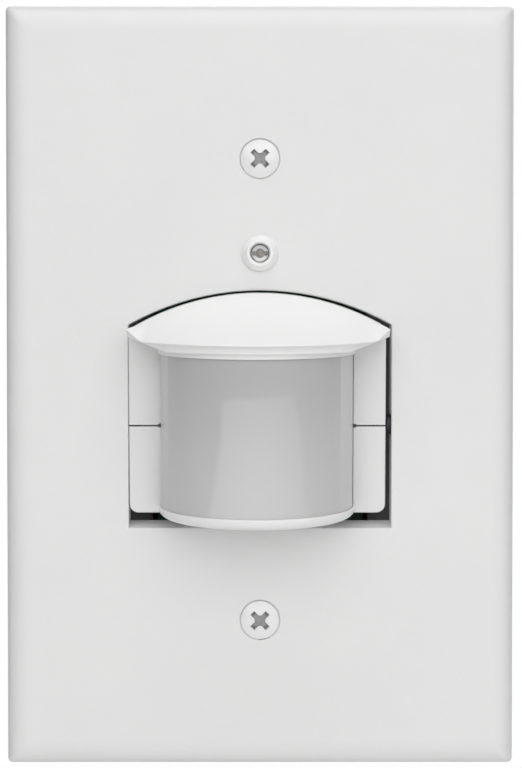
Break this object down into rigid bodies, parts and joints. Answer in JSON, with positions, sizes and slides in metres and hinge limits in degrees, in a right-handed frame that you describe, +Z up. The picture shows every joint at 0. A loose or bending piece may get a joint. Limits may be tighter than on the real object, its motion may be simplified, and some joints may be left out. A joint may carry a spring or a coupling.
{
  "type": "motion sensor light switch",
  "caption": "Wall-mounted motion sensor light switch: oversize white cover plate with a hooded, tilting sensor head, half-round lens, indicator lamp and rear box housing.",
  "frame": {"origin": "centre of the two-screw wall pattern, on the wall plane at the plate's rear edge", "axes": "+Z up along the plate's height, +X to the viewer's right, the front faces -Y and the housing goes into the wall along +Y"},
  "size_m": [0.0924, 0.0611, 0.1381],
  "materials": {
    "white_plastic": "smooth satin moulding",
    "white_paint": "baked white enamel",
    "clear_epoxy": "clear cast epoxy",
    "tinned_steel": "bright plated",
    "dark_steel": "blackened spring steel",
    "black_rubber": "matt",
    "black_plastic": "matt moulding",
    "housing_plastic": "fine grained moulding",
    "board_laminate": "solder-masked laminate",
    "relay_case": "smooth moulding",
    "film_case": "smooth moulding",
    "sleeved_can": "shrink sleeve on an aluminium can",
    "blue_epoxy": "dipped epoxy",
    "ivory_plastic": "smooth moulding",
    "terminal_plastic": "smooth moulding",
    "trimmer_plastic": "smooth moulding",
    "lens_polyethylene": "smooth translucent polyethylene",
    "cell_ceramic": "coated ceramic disc",
    "knob_plastic": "smooth moulding"
  },
  "bodies": {
    "wall_unit": {"cover_plate": "white_plastic", "mounting_screws": "white_paint", "led_bezel": "white_plastic", "indicator_led": "clear_epoxy", "led_leads": "tinned_steel", "led_spacer": "black_plastic", "pivot_pins": "tinned_steel", "friction_washer": "black_rubber", "spring_washer": "dark_steel", "rear_housing": "housing_plastic", "housing_screws": "tinned_steel", "main_board": "board_laminate", "board_screws": "tinned_steel", "relay": "relay_case", "film_capacitor": "film_case", "electrolytic_capacitor": "sleeved_can", "varistor": "blue_epoxy", "rectifier": "black_plastic", "timer_chip": "black_plastic", "board_header": "ivory_plastic", "terminal_block": "terminal_plastic", "terminal_screws": "tinned_steel", "trimmer_bodies": "trimmer_plastic"},
    "sensor_head": {"upper_shell": "white_plastic", "lower_shell": "white_plastic", "fresnel_lens": "lens_polyethylene", "head_back": "white_plastic", "head_screws": "tinned_steel", "sensor_board": "board_laminate", "pir_can": "tinned_steel", "pir_filter": "black_plastic", "photocell": "cell_ceramic", "amplifier_chip": "black_plastic", "sensor_header": "ivory_plastic"},
    "time_shaft": {"time_knob": "knob_plastic"},
    "light_shaft": {"light_knob": "knob_plastic"}
  },
  "joints": [
    {"name": "head_tilt", "type": "hinge", "parent": "wall_unit", "child": "sensor_head", "pos_m": [0, -0.004, -0.00625], "axis": [1, 0, 0], "range_deg": [-9, 7]},
    {"name": "time_turn", "type": "hinge", "parent": "wall_unit", "child": "time_shaft", "pos_m": [0.009, 0.03, 0.02015], "axis": [0, 1, 0], "range_deg": [-135, 135]},
    {"name": "light_turn", "type": "hinge", "parent": "wall_unit", "child": "light_shaft", "pos_m": [-0.009, 0.03, 0.02015], "axis": [0, 1, 0], "range_deg": [-135, 135]}
  ]
}
